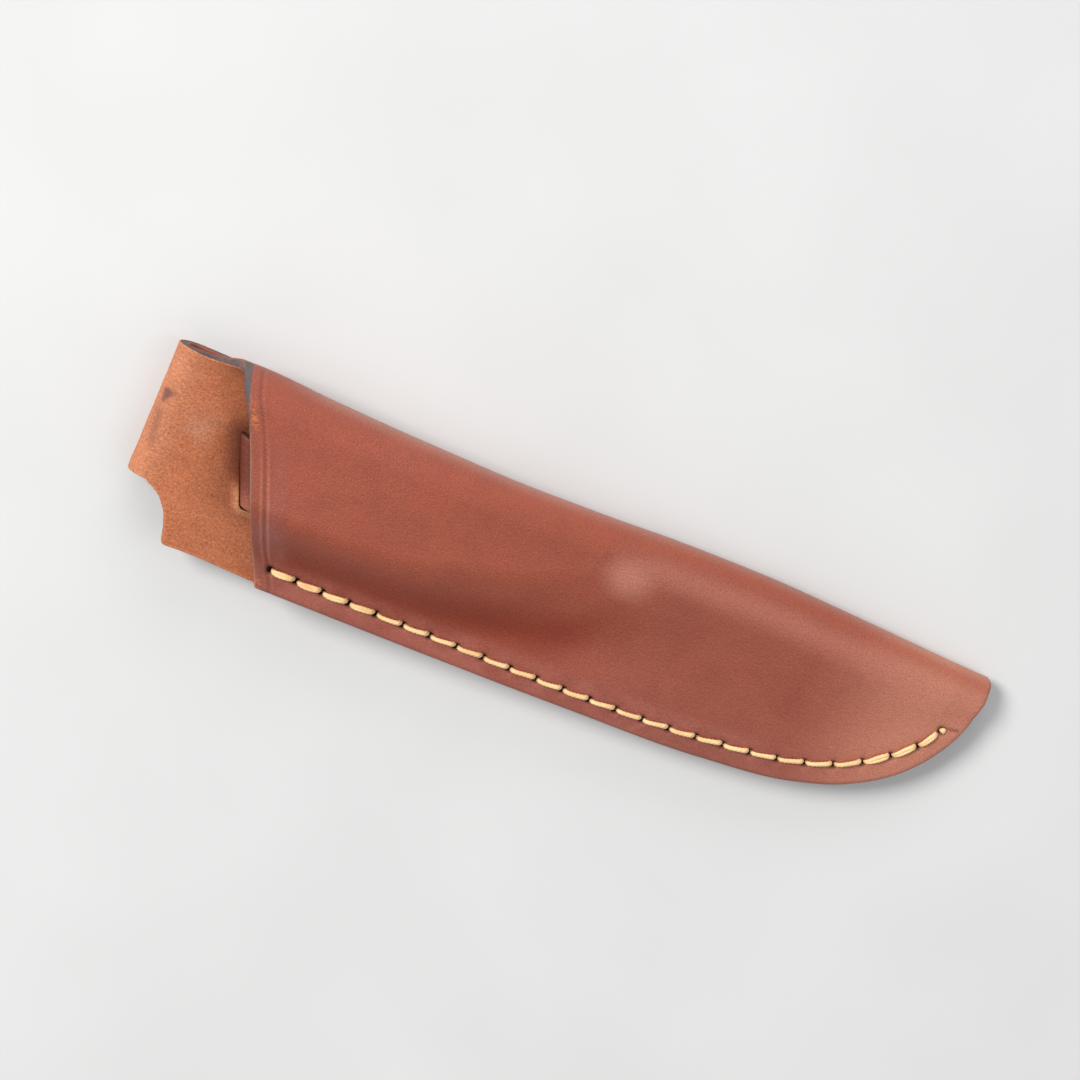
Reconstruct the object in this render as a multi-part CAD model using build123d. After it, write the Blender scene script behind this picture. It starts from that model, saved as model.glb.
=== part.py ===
"""A leather belt sheath for a fixed-blade whittling knife, in millimetres.

One hide is folded along the spine into a pocket. Its back runs on past the pocket's mouth as a
tongue, which folds back as a belt loop, and the tongue's tab comes through a slit in the back panel
and is sewn down inside. A welt lies between the two layers at the sewn edge. Each seam is a
lockstitch of two threads.

The hide frame, in which the sheath is drawn, has +X from the loop's fold to the tip, +Y from the
sewn edge to the spine and +Z from the flat back to the moulded front, with the back panel's outer
face at Z = 0. Last, the sheath is laid on its back, resting on the loop and the tip, with the
origin under the middle of its box.
"""

from build123d import *
import math
import os

# Hide and thread
HIDE = 2.2  # thickness of the hide, and of the welt cut from it
THREAD = 1.1  # diameter of the waxed thread
HOLE = 1.3  # diameter of an awl hole
CLEAR = 0.25  # gap between the tab and the slit that it passes

# Pocket: heights of the front, and places of the spine, at distances from the loop's fold
LENGTH = 180.0
FRONT_HEIGHTS = ((3, 15.0), (16, 15.4), (32, 15.6), (52, 15.2), (74, 14.0), (92, 12.2))
FRONT_HEIGHTS += ((108, 10.4), (126, 9.2), (146, 8.8), (160, 8.0), (171, 7.2), (184, 6.9))
SPINE_LINE = ((3, 1.0), (16, 1.4), (32, 1.0), (52, 0.4), (74, 0.2), (92, 0.8))
SPINE_LINE += ((108, 1.7), (126, 2.1), (146, 1.7), (160, 1.2), (171, 0.9), (184, 0.7))
SPINE_TOP = 7.0  # how far the fold's upper quarter reaches in from the spine
SPINE_BOTTOM = 6.0  # and its lower quarter
SPINE_LEVEL = 0.48  # height of the spine's outermost line, as a share of the front's height
PLATEAU_SHARE = 0.52  # where the moulded front starts to fall, as a share of the width
SEAM_STACK = 3 * HIDE  # height of the flat margin: front, welt and back
FLANGE = 7.0  # width of that margin
WIDE_AT_TIP = 27.0  # the least width that a section is drawn with before it is trimmed

# Outline, seen from the front
SEAM_EDGE = ((32.7, -40.1), (60, -39.6), (100, -38.7), (130, -37.4), (150, -34.3))
SEAM_EDGE += ((160, -30.4), (170, -23.1), (177.4, -11.4), (180.0, -3.6))
TIP_CORNER = 1.2
MOUTH_TOP = (15.0, 1.6)
MOUTH_SLOPE = 0.425  # how far the mouth runs towards the tip for each millimetre down
LIP_START = 3.4  # height of the back's curled top edge where the loop's neck begins
LIP_LINE = -5.5  # the back is curled above this line, and flat below it
END_CORNER = (12.2, -40.1)
NOTCH_TOP = (5.4, -29.5)
NOTCH_BOTTOM = (11.4, -37.4)
NOTCH_RADIUS = 10.0

# Belt loop
LOOP_TOP = -0.9
LOOP_BOTTOM = -28.9
LOOP_GAP = 5.0
SHOULDER_X = 12.5
SLIT_TOP = (18.2, -12.8)
SLIT_BOTTOM = (25.4, -26.7)
RISER_RUN = 4.0  # how far the tab runs on while it climbs through the slit
RISER_BEND = 1.6
STRAP_END = 3.2  # from the slit to where the strap has become the tab
TAB_ROOT = 2.5  # how far the tab and the strap are drawn through each other
TAB_LENGTH = 13.0  # from the slit to the tab's end

# Seams
FIRST_INSET = 4.1  # from the sewn edge to the stitches, at the mouth
LAST_INSET = 3.3  # and at the tip
STITCHES = 25
FIRST_HOLE = 1.4  # from the start of the stitch line
LAST_HOLE = 9.8  # from its end, at the tip
WELT_WIDTH = 8.0
WELT_STOP = -6.0  # the welt ends here, short of the spine's fold
GROOVE = 1.2  # depth of the groove that the back's stitches lie in
GROOVE_WIDTH = 1.7
PIN = 0.48  # radius of the thread where it is drawn down into a hole
BAR_GAP = 0.12  # from a hole's axis to the stitches on either side
ON_TOP = 0.15  # gap between a stitch and the hide that it lies on
TAB_STITCHES = 4
TAB_SEAM = 7.5  # from the slit
TAB_SEAM_MARGIN = 2.2  # from the tab's sides

# What follows from them
FOLD_RADIUS = LOOP_GAP / 2 + HIDE
FOLD_CENTRE = (FOLD_RADIUS, HIDE - FOLD_RADIUS)
BEYOND = 30.0  # comfortably outside the sheath
OUTER_MARGIN = 6.0  # how far the pocket's outside is lofted past the sewn edge
HOLLOW_MARGIN = 9.0  # and its hollow, which has to come out beyond that
TO_TIP = (LENGTH - FOLD_CENTRE[0], -FOLD_CENTRE[1])
TIP_ANGLE = math.atan2(TO_TIP[1], TO_TIP[0])
REST_TILT = math.degrees(TIP_ANGLE + math.asin(FOLD_RADIUS / math.hypot(*TO_TIP)))


def between(table, x):
    """A smooth value from a table of (x, value) pairs."""
    for (x0, v0), (x1, v1) in zip(table, table[1:]):
        if x <= x1:
            share = min(max((x - x0) / (x1 - x0), 0), 1)
            return v0 + (v1 - v0) * share * share * (3 - 2 * share)
    return table[-1][1]


def seam_edge():
    return Spline(*SEAM_EDGE, tangents=((1, 0), (0.1, 1)))


def inside_edge(first, last):
    """The line inside the sewn edge, at one distance from it at the mouth and another at the tip."""
    edge = seam_edge()
    points = []
    for i in range(13):
        share = i / 12
        distance = first + (last - first) * share
        place = edge @ share
        way = (edge % share).normalized()
        points.append((place.X - way.Y * distance, place.Y + way.X * distance))
    return Spline(*points)


def edge_depth(edge, x):
    """How far the sewn edge lies below the spine line at x."""
    low, high = 0.0, 1.0
    for _ in range(30):
        middle = (low + high) / 2
        if (edge @ middle).X < min(max(x, SEAM_EDGE[0][0]), SEAM_EDGE[-1][0]):
            low = middle
        else:
            high = middle
    return -(edge @ low).Y


# Pocket


def front_curve(x, depth, inset):
    """Points of a section's face, from the spine's outermost line over the front to the flange."""
    spine = between(SPINE_LINE, x)
    height = between(FRONT_HEIGHTS, x)
    level = height * SPINE_LEVEL
    top = height - inset
    points = []
    for turn in (0, 18, 36, 54, 72, 90):
        across = (SPINE_TOP - inset) * (1 - math.cos(math.radians(turn)))
        climb = (top - level) * math.sin(math.radians(turn))
        points.append((x, spine - inset - across, level + climb))
    fall_start = max(PLATEAU_SHARE * (depth + spine), SPINE_TOP + 2)
    fall_end = depth + spine - FLANGE
    fall = top - (SEAM_STACK - inset)
    for share in (0, 0.25, 0.5, 0.75, 1):
        inwards = fall_start + (fall_end - fall_start) * share
        points.append((x, spine - inwards, top - fall * (0.5 - 0.5 * math.cos(math.pi * share))))
    return points


def back_curve(x, inset):
    """Points of a section's face, from the spine's outermost line down to the flat back."""
    spine = between(SPINE_LINE, x)
    level = between(FRONT_HEIGHTS, x) * SPINE_LEVEL
    points = []
    for turn in (0, 22.5, 45, 67.5, 90):
        across = (SPINE_BOTTOM - inset) * (1 - math.cos(math.radians(turn)))
        drop = (level - inset) * math.sin(math.radians(turn))
        points.append((x, spine - inset - across, level - drop))
    return points


def section(x, depth, margin, inset):
    """A closed section of the pocket at x: its outside, or its hollow with the welt's slot."""
    front = front_curve(x, depth, inset)
    back = back_curve(x, inset)
    far_front = (x, -depth - margin, front[-1][2])
    far_back = (x, -depth - margin, back[-1][2])
    over = Spline(*front, tangents=((0, 0, 1), (0, -1, 0)))
    under = Spline(*back, tangents=((0, 0, -1), (0, -1, 0)))
    sides = [Line(front[-1], far_front), Line(far_front, far_back), Line(far_back, back[-1])]
    return Face(Wire([over, *sides, under]))


def pocket_solid(inset, margin):
    """The pocket's outside or its hollow, lofted through the stations of FRONT_HEIGHTS."""
    edge = seam_edge()
    sections = []
    for x, _ in FRONT_HEIGHTS:
        sections.append(section(x, max(edge_depth(edge, x), WIDE_AT_TIP), margin, inset))
    return loft(sections)


def prism(outline, bottom, top):
    """A solid over a closed outline in plan."""
    return Pos(0, 0, bottom) * extrude(make_face(outline), amount=top - bottom)


def hide_plan():
    """The back panel's outline, from the loop's neck to the tip, open above the spine."""
    corner = (LENGTH, -TIP_CORNER / 2)
    turned = (LENGTH - TIP_CORNER, TIP_CORNER / 2)
    neck = (FOLD_RADIUS, LOOP_BOTTOM)
    above = (MOUTH_TOP[0], MOUTH_TOP[1] + 1)
    edges = [
        seam_edge(),
        Line(SEAM_EDGE[-1], corner),
        RadiusArc(corner, turned, -TIP_CORNER),
        Line(turned, (LENGTH - BEYOND, BEYOND)),
        Line((LENGTH - BEYOND, BEYOND), (MOUTH_TOP[0], BEYOND)),
        Line((MOUTH_TOP[0], BEYOND), above),
        Line(above, (FOLD_RADIUS, LOOP_TOP)),
        Line((FOLD_RADIUS, LOOP_TOP), neck),
        Line(neck, NOTCH_TOP),
        RadiusArc(NOTCH_TOP, NOTCH_BOTTOM, NOTCH_RADIUS),
        Line(NOTCH_BOTTOM, END_CORNER),
        Line(END_CORNER, SEAM_EDGE[0]),
    ]
    return edges


def mouth_x(y):
    return MOUTH_TOP[0] + MOUTH_SLOPE * (MOUTH_TOP[1] - y)


def before_mouth(bottom):
    """The space ahead of the mouth line, above this height."""
    corners = [(-BEYOND, BEYOND), (-BEYOND, -2 * BEYOND)]
    corners += [(mouth_x(-2 * BEYOND), -2 * BEYOND), (mouth_x(BEYOND), BEYOND)]
    return prism(Polyline(*corners, close=True), bottom, BEYOND)


def above_lip():
    """The space above the back panel's curled top edge, which climbs to the mouth's corner."""
    level = between(FRONT_HEIGHTS, MOUTH_TOP[0]) * SPINE_LEVEL
    rise = Spline((FOLD_RADIUS, LIP_START), (MOUTH_TOP[0], level), tangents=((1, 0.1), (1, 0.9)))
    outline = [
        Line((-BEYOND, BEYOND), (-BEYOND, LIP_START)),
        Line((-BEYOND, LIP_START), (FOLD_RADIUS, LIP_START)),
        rise,
        Line((MOUTH_TOP[0], level), (BEYOND, level)),
        Line((BEYOND, level), (BEYOND, BEYOND)),
        Line((BEYOND, BEYOND), (-BEYOND, BEYOND)),
    ]
    return extrude(Plane.XZ * make_face(outline), amount=BEYOND, both=True)


def front_cutter():
    """What is cut away of the lofted front to leave the tongue bare."""
    corners = [(-BEYOND, LIP_LINE), (2 * BEYOND, LIP_LINE)]
    corners += [(2 * BEYOND, -2 * BEYOND), (-BEYOND, -2 * BEYOND)]
    over_flat = prism(Polyline(*corners, close=True), 1.5 * HIDE, BEYOND)
    return before_mouth(0) & (over_flat + above_lip())


# Belt loop


def slit_edge(along, across=0.0):
    """A point in plan beside the slit, this far along it and this far towards the tip."""
    x = SLIT_TOP[0] + (SLIT_BOTTOM[0] - SLIT_TOP[0]) * along
    return (x + across, SLIT_TOP[1] + (SLIT_BOTTOM[1] - SLIT_TOP[1]) * along)


def strap_level(x):
    """Height of the middle of the strap under the tongue, which lies flat when the sheath rests."""
    tilt = math.radians(REST_TILT)
    start_x = FOLD_CENTRE[0] + (FOLD_RADIUS - HIDE / 2) * math.sin(tilt)
    start_z = FOLD_CENTRE[1] - (FOLD_RADIUS - HIDE / 2) * math.cos(tilt)
    return start_z + (x - start_x) * math.tan(tilt)


def fold_and_strap():
    """The turn at the loop's end, and the strap that runs back under the tongue."""
    middle = CenterArc(FOLD_CENTRE, FOLD_RADIUS - HIDE / 2, 90, 180 + REST_TILT)
    strap = Line(middle @ 1, (BEYOND, strap_level(BEYOND)))
    band = extrude(Plane.XZ * trace(middle, HIDE), amount=2 * BEYOND)
    band += extrude(Plane.XZ * trace(strap, HIDE), amount=2 * BEYOND)
    plan = [(-HIDE, LOOP_TOP), (SHOULDER_X, LOOP_TOP), (SHOULDER_X, SLIT_TOP[1])]
    plan += [slit_edge(0, -STRAP_END), slit_edge(1, -STRAP_END), (SHOULDER_X, SLIT_BOTTOM[1])]
    plan += [(SHOULDER_X, LOOP_BOTTOM), (-HIDE, LOOP_BOTTOM)]
    return band & prism(Polyline(*plan, close=True), -BEYOND, BEYOND)


def riser_line():
    """The tab's middle line in a side view at the slit's top end."""
    low = strap_level(SLIT_BOTTOM[0])
    high = 1.5 * HIDE
    slope = RISER_RUN / (high - low)
    bottom = (SLIT_TOP[0] + slope * (low - HIDE / 2), low)
    top = (SLIT_TOP[0] + slope * (high - HIDE / 2), high)
    return bottom, top


def along_slit(face, extra=0.0):
    """A side-view face, swept along the slit and this much past both of its ends."""
    run = Vector(SLIT_BOTTOM[0] - SLIT_TOP[0], SLIT_BOTTOM[1] - SLIT_TOP[1], 0)
    start = -run.normalized() * extra
    placed = Pos(start.X, start.Y, 0) * (Plane.XZ.offset(-SLIT_TOP[1]) * face)
    return extrude(placed, amount=run.length + 2 * extra, dir=run)


def tab():
    """The tab: from the strap, up through the slit and on over the back panel's inner face."""
    bottom, top = riser_line()
    start = (bottom[0] - TAB_ROOT, bottom[1])
    end = (SLIT_TOP[0] + TAB_LENGTH, top[1])
    line = FilletPolyline(start, bottom, top, end, radius=RISER_BEND)
    return along_slit(trace(line, HIDE))


def slit_gap():
    """The room for the tab in the back panel."""
    bottom, top = riser_line()
    channel = along_slit(trace(Line(bottom, top), HIDE + 2 * CLEAR), CLEAR)
    return channel & Box(2 * LENGTH, 2 * LENGTH, 2 * HIDE)


# Seams


def stitch_places():
    """The centres of the main seam's holes, from the mouth to the tip."""
    line = inside_edge(FIRST_INSET, LAST_INSET)
    run = line.length - FIRST_HOLE - LAST_HOLE
    return [line @ ((FIRST_HOLE + run * i / STITCHES) / line.length) for i in range(STITCHES + 1)]


def tab_stitch_places():
    """The centres of the tab seam's holes, beside the slit."""
    length = math.dist(SLIT_TOP, SLIT_BOTTOM)
    first = TAB_SEAM_MARGIN / length
    step = (1 - 2 * first) / TAB_STITCHES
    return [Vector(*slit_edge(first + step * i, TAB_SEAM)) for i in range(TAB_STITCHES + 1)]


def front_level(x, y):
    """Height of the front's outer face over a point in plan, beside the seam."""
    spine = between(SPINE_LINE, x)
    height = between(FRONT_HEIGHTS, x)
    depth = max(edge_depth(seam_edge(), x), WIDE_AT_TIP)
    fall_start = PLATEAU_SHARE * (depth + spine)
    fall_end = depth + spine - FLANGE
    share = min(max((spine - y - fall_start) / (fall_end - fall_start), 0), 1)
    return height - (height - SEAM_STACK) * (0.5 - 0.5 * math.cos(math.pi * share))


def bar(start, end, reach):
    """A round bar between two points, its sides this far from its axis."""
    upright = (Align.CENTER, Align.CENTER, Align.MIN)
    return Plane(start, z_dir=end - start) * Cylinder(reach, (end - start).length, align=upright)


def thread(places, levels, meet):
    """One thread of a lockstitch: a bar between each two holes, and a pin down each to the middle."""
    tops = [Vector(place.X, place.Y, level) for place, level in zip(places, levels)]
    pieces = []
    for a, b in zip(tops, tops[1:]):
        short = (b - a).normalized() * BAR_GAP
        pieces.append(bar(a + short, b - short, THREAD / 2))
    for top in tops:
        past = THREAD / 4 if top.Z > meet else -THREAD / 4
        pieces.append(bar(Vector(top.X, top.Y, meet), Vector(top.X, top.Y, top.Z + past), PIN))
    return pieces[0].fuse(*pieces[1:])


def seam_holes(places, top):
    """The awl holes of a seam, with the groove along the back that its stitches lie in."""
    cuts = []
    for place in places:
        cuts.append(Pos(place.X, place.Y, top / 2) * Cylinder(HOLE / 2, top + 2))
    for a, b in zip(places, places[1:]):
        middle = (a + b) / 2
        turn = math.degrees(math.atan2(b.Y - a.Y, b.X - a.X))
        groove = Box((b - a).length + GROOVE_WIDTH, GROOVE_WIDTH, 2 * GROOVE)
        cuts.append(Pos(middle.X, middle.Y, 0) * Rot(0, 0, turn) * groove)
    return cuts[0].fuse(*cuts[1:])


def welt_solid():
    """The strip between the layers along the sewn edge."""
    edge, inner = seam_edge(), inside_edge(WELT_WIDTH, WELT_WIDTH)
    strip = prism([edge, Line(edge @ 1, inner @ 1), inner, Line(inner @ 0, edge @ 0)], HIDE, 2 * HIDE)
    stop = Pos(LENGTH, WELT_STOP + BEYOND, 0) * Box(2 * BEYOND, 2 * BEYOND, BEYOND)
    return strip - before_mouth(0) - stop


# Assembly


def hide_solid():
    """The one hide: pocket, tongue, fold, strap and tab."""
    shell = pocket_solid(0, OUTER_MARGIN) - pocket_solid(HIDE, HOLLOW_MARGIN)
    shell = shell - front_cutter()
    shell = shell & prism(hide_plan(), -HIDE, BEYOND)
    shell = shell - slit_gap()
    return shell + fold_and_strap() + tab()


def laid_to_rest(nodes):
    """Every node turned onto the loop and the tip, with the origin under the middle of its box."""
    tilt = math.radians(REST_TILT)
    fold_x = FOLD_CENTRE[0] * math.cos(tilt) + FOLD_CENTRE[1] * math.sin(tilt) - FOLD_RADIUS
    tip_x = LENGTH * math.cos(tilt) + SEAM_STACK * math.sin(tilt)
    spine_y = max(y for _, y in SPINE_LINE)
    low_y = min(y for _, y in SEAM_EDGE)
    place = Pos(-(fold_x + tip_x) / 2, -(spine_y + low_y) / 2, LENGTH * math.sin(tilt))
    return {name: place * Rot(0, REST_TILT, 0) * node for name, node in nodes.items()}


def build():
    seam, tab_seam = stitch_places(), tab_stitch_places()
    seam_cuts = seam_holes(seam, SEAM_STACK)
    on_front = [front_level(place.X, place.Y) + THREAD / 2 + ON_TOP for place in seam]
    on_tab = [2 * HIDE + THREAD / 2 + ON_TOP] * len(tab_seam)
    in_groove = [GROOVE / 2] * len(seam)
    nodes = {
        "sheath_body": hide_solid() - seam_cuts - seam_holes(tab_seam, 2 * HIDE),
        "welt": welt_solid() - seam_cuts,
        "seam_needle_thread": thread(seam, on_front, SEAM_STACK / 2),
        "seam_bobbin_thread": thread(seam, in_groove, SEAM_STACK / 2),
        "loop_needle_thread": thread(tab_seam, on_tab, HIDE),
        "loop_bobbin_thread": thread(tab_seam, in_groove[: len(tab_seam)], HIDE),
    }
    os.makedirs("parts", exist_ok=True)
    for name, node in laid_to_rest(nodes).items():
        export_step(node, f"parts/{name}.step")


build()
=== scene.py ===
"""A leather belt sheath for a whittling knife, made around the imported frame.

The hide is cut as one flat pattern, with its awl holes and its slit, and is then folded: over the
spine into the pocket and back under the tongue into the belt loop. Pattern places are (u, v) in
millimetres: u runs from the tongue's fold to the tip, and v from the spine, positive over the front
and negative over the back. The hide frame is the one that the sheath is drawn in: +X to the tip, +Y
to the spine, +Z up from the flat back. rested() turns it into the row frame, in metres.
"""

import math

import bmesh
import bpy
import numpy as np
from mathutils import Matrix, Vector, geometry, kdtree


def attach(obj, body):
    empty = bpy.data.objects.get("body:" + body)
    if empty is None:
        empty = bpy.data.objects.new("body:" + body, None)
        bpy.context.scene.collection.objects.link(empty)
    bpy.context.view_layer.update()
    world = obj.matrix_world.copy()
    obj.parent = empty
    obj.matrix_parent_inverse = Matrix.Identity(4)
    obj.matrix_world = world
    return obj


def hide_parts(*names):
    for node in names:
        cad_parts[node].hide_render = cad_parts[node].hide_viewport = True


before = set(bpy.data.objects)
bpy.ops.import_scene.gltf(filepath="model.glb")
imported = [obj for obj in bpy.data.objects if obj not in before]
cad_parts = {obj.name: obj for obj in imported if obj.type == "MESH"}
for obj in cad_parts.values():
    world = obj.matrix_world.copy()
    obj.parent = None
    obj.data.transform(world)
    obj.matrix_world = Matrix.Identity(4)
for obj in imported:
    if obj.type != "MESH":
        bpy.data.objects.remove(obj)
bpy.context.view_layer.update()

MM = 0.001  # one millimetre in metres; every other length here is in millimetres
HIDE = 2.2  # thickness of the leather
LENGTH = 180.0
SPINE_TOP, SPINE_LOW = 7.0, 6.0  # radii of the spine's fold above and below its middle
SPINE_LEVEL = 0.48  # height of the spine's middle, as a share of the front's height
SEAM_STACK = 3 * HIDE  # back, welt and front

# Height of the moulded front's top face: (x, z).
FRONT_HEIGHTS = ((3, 15.0), (16, 15.4), (32, 15.6), (52, 15.2), (74, 14.0), (92, 12.2))
FRONT_HEIGHTS += ((108, 10.4), (126, 9.2), (146, 8.8), (160, 8.0), (171, 7.2), (184, 6.9))

# The spine's outer line: (x, y).
SPINE_LINE = ((3, 1.0), (16, 1.9), (32, 1.3), (52, 0.8), (74, 0.6), (92, 1.2))
SPINE_LINE += ((108, 2.0), (126, 2.4), (146, 2.0), (160, 1.4), (171, 1.0), (184, 0.7))

# Depth below the spine line where the moulded top starts and ends its fall to the seam: (x, depth).
FALL_START = ((14, 24), (50, 22), (66, 19), (80, 14.5), (92, 10), (104, 8), (150, 7.5), (184, 7))
FALL_END = ((14, 37), (50, 36.6), (66, 36), (80, 33), (92, 29.5), (110, 28), (140, 28), (155, 25))
FALL_END += ((166, 19), (174, 12), (180, 9))

# The sewn edge, from the mouth to the tip: (x, y).
SEAM_EDGE = ((32.7, -40.1), (60, -39.7), (100, -38.8), (130, -37.5), (150, -34.7))
SEAM_EDGE += ((160, -31.3), (170, -24.6), (178.0, -12.7), (180.0, -4.2))
TIP_CORNER = 1.0
MIDDLE_Y = -19.0  # the hide-frame y that the row frame calls 0

# The front's mouth: (y, x).
MOUTH = ((-40.2, 32.6), (-36.8, 31.0), (-31.3, 28.1), (-27, 26.4), (-20, 23.7), (-13.6, 21.1))
MOUTH += ((-7.5, 18.3), (-4.5, 16.7), (-2.0, 15.4), (0.0, 14.7), (1.6, 14.2))
MOUTH_SLOPE = 0.43  # how far its x goes back per millimetre of y

# The tongue's corner at the sewn edge, and the concave notch from there to the loop: (x, y).
END_CORNER = (12.2, -40.1)
NOTCH = ((11.8, -39.0), (11.3, -36.8), (10.1, -33.7), (8.3, -31.3), (6.3, -29.9), (4.9, -29.4))

# The belt loop's strap, and the slit that its tab comes up through.
LOOP_TOP, LOOP_BOTTOM = -0.9, -28.9
LOOP_GAP = 5.0
SHOULDER_X = 12.5  # where the strap narrows to the tab
SLIT_TOP, SLIT_BOTTOM = (18.8, -12.8), (24.4, -26.7)
RISER_LEAN = 1.2  # how far the tab leans while it rises through the slit
TAB_LENGTH = 12.5

# Seams. SEAM_INSETS is (share of the sewn edge, distance of the stitches from it).
STITCHES, TAB_STITCHES = 25, 4
TAB_SEAM_AWAY = 7.5  # from the slit's line
SEAM_INSETS = ((0, 4.7), (0.05, 4.4), (0.23, 4.1), (0.45, 3.6), (0.6, 4.0), (0.71, 4.3))
SEAM_INSETS += ((0.82, 4.5), (0.86, 4.4), (0.9, 3.8), (0.94, 3.6), (1, 3.4))
FIRST_HOLE, LAST_HOLE = 1.4, 9.8  # distances from the two ends of the stitch line
SEAM_DRIFT = 0.5  # how far the middle holes sit back from an even spacing
THREAD = 0.50  # radius
THREAD_STEP = 0.22  # between the rings of a thread's mesh
TURNS_PER_MM, STRANDS, SIDES = 0.42, 3, 15  # of a thread
IN_GROOVE = -0.68  # height of the back's stitches over the grain face
STITCH_GAP = (0.60, 0.56)  # from a hole's middle to a stitch, at its start and its end
WELT_WIDTH, WELT_END_Y = 8.0, -6.2

# Marks of use and moulding, and where shade and a highlight are painted: (x, y).
NICK = ((173.6, -12.3), (177.2, -11.6))
STAIN = ((0.7, -10.1), (3.8, -10.8), (1.2, -13.6))
# The trough's line: shade is painted along it, partly the leather darkened by its moulding.
TROUGH = ((30, -31.0), (39, -31.0), (57, -30.2), (73, -28.6), (88, -26.6), (97, -23.5), (102, -19))
# The middle of a painted highlight where the handle's bulge ends.
PAINTED_HIGHLIGHT_AT = (100.5, -8.5)
GROOVE_AT, RIDGES_AT = 2.95, (2.25, 3.65)  # tooled lines beside the mouth, from its cut edge

# The pattern's mesh.
EDGE_ROUND = 0.55  # radius of the cut edges
NEAR = (0.1, 0.25, 0.45, 0.7)  # distances of the first rows beside the border
ROWS_REACH, ROW_STEP, GRID = 5.0, 0.36, 0.75
HOLE_POINTS, HOLE_SIZE, HOLE_CLEAR = 16, 0.52, 1.15  # points, half size, and bare radius of the grid
FAR = 20.0  # distance stored where a mark doesn't reach

FOLD_RADIUS = LOOP_GAP / 2 + HIDE
FOLD_X = FOLD_RADIUS
FOLD_Z = HIDE - FOLD_RADIUS
_reach = (LENGTH - FOLD_X, -FOLD_Z)
TILT = math.atan2(_reach[1], _reach[0]) + math.asin(FOLD_RADIUS / math.hypot(*_reach))


# Smooth tables and the sewn edge


def table(pairs):
    """A smooth function through (x, value) pairs, flat beyond its ends."""
    xs, ys = np.array(pairs, float).T
    slopes = np.gradient(ys, xs)

    def value(x):
        x = np.clip(x, xs[0], xs[-1])
        i = np.clip(np.searchsorted(xs, x) - 1, 0, len(xs) - 2)
        h = xs[i + 1] - xs[i]
        t = (x - xs[i]) / h
        a, b = 2 * t**3 - 3 * t**2 + 1, t**3 - 2 * t**2 + t
        c, d = 3 * t**2 - 2 * t**3, t**3 - t**2
        return a * ys[i] + b * h * slopes[i] + c * ys[i + 1] + d * h * slopes[i + 1]

    return value


def step(x):
    """0 below 0, 1 above 1, and smooth between."""
    x = np.clip(x, 0, 1)
    return x * x * (3 - 2 * x)


front_height, spine_line = table(FRONT_HEIGHTS), table(SPINE_LINE)
fall_start, fall_end = table(FALL_START), table(FALL_END)
mouth_x = table(MOUTH)


def lengths_along(points):
    """The length of a line up to each of its points."""
    return np.concatenate([[0], np.cumsum(np.linalg.norm(np.diff(points, axis=0), axis=1))])


def even(points, spacing):
    """The same open line with points this far apart along it."""
    points = np.asarray(points, float)
    along = lengths_along(points)
    n = max(int(round(along[-1] / spacing)), 1)
    at = np.linspace(0, along[-1], n + 1)
    return np.stack([np.interp(at, along, points[:, k]) for k in range(points.shape[1])], 1)


def seam_edge(spacing=0.5):
    """Plan places along the sewn edge."""
    knots = np.array(SEAM_EDGE)
    chord = lengths_along(knots)
    fine = np.linspace(0, chord[-1], 1500)
    x, y = table(list(zip(chord, knots[:, 0]))), table(list(zip(chord, knots[:, 1])))
    return even(np.stack([x(fine), y(fine)], 1), spacing)


def unit(vectors):
    """The same directions with length 1."""
    return vectors / np.linalg.norm(vectors, axis=-1)[..., None]


def ways(points):
    """Unit directions along a line of points."""
    return unit(np.gradient(points, axis=0))


def left_of(way):
    """Directions turned a quarter to the left."""
    return np.stack([-way[:, 1], way[:, 0]], 1)


def stitch_places():
    """Plan places of the main seam's holes."""
    edge = seam_edge(0.25)
    inset = table(SEAM_INSETS)(np.linspace(0, 1, len(edge)))[:, None]
    line = edge + inset * left_of(ways(edge))
    along = lengths_along(line)
    number = np.arange(STITCHES + 1)
    drift = SEAM_DRIFT * step(number / 2) * (1 - step((number - 20) / 3))
    at = np.linspace(FIRST_HOLE, along[-1] - LAST_HOLE, STITCHES + 1) - drift
    return np.stack([np.interp(at, along, line[:, k]) for k in (0, 1)], 1)


# Folding the pattern


def loop_path():
    """The loop's middle line in a side view, from the tongue round the fold to the tab's end."""
    r = FOLD_RADIUS - HIDE / 2
    turn = np.linspace(math.pi / 2, 1.5 * math.pi + TILT, 120)
    ring = np.stack([FOLD_X + r * np.cos(turn), FOLD_Z + r * np.sin(turn)], 1)
    low_x = SLIT_TOP[0] - RISER_LEAN
    low = ring[-1] + (low_x - ring[-1][0]) * np.array([1, math.tan(TILT)])
    high = np.array([SLIT_TOP[0] + RISER_LEAN / 2, 1.5 * HIDE + 0.05])
    end = high + [TAB_LENGTH, 0]
    corners = [ring[-1], low, high, end]
    line = [ring]
    for a, b, c, bend in zip(corners, corners[1:], corners[2:], (2.0, 0.9)):
        back, on = (a - b) / np.linalg.norm(a - b), (c - b) / np.linalg.norm(c - b)
        t = np.linspace(0, 1, 40)[:, None]
        start, stop = b + back * bend, b + on * bend
        line.append((1 - t) ** 2 * start + 2 * t * (1 - t) * b + t**2 * stop)
    line.append(end[None])
    return even(np.concatenate(line), 0.1)


PATH = loop_path()
PATH_WAY = ways(PATH)
PATH_AT = np.arange(len(PATH)) * (np.linalg.norm(np.diff(PATH, axis=0), axis=1).mean())
TAB_U = FOLD_X - PATH_AT[-1]
RISER_AT = float(PATH_AT[np.argmax((PATH[:, 0] > SLIT_TOP[0] - RISER_LEAN - 2.5) & (PATH_AT > 12))])


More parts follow.
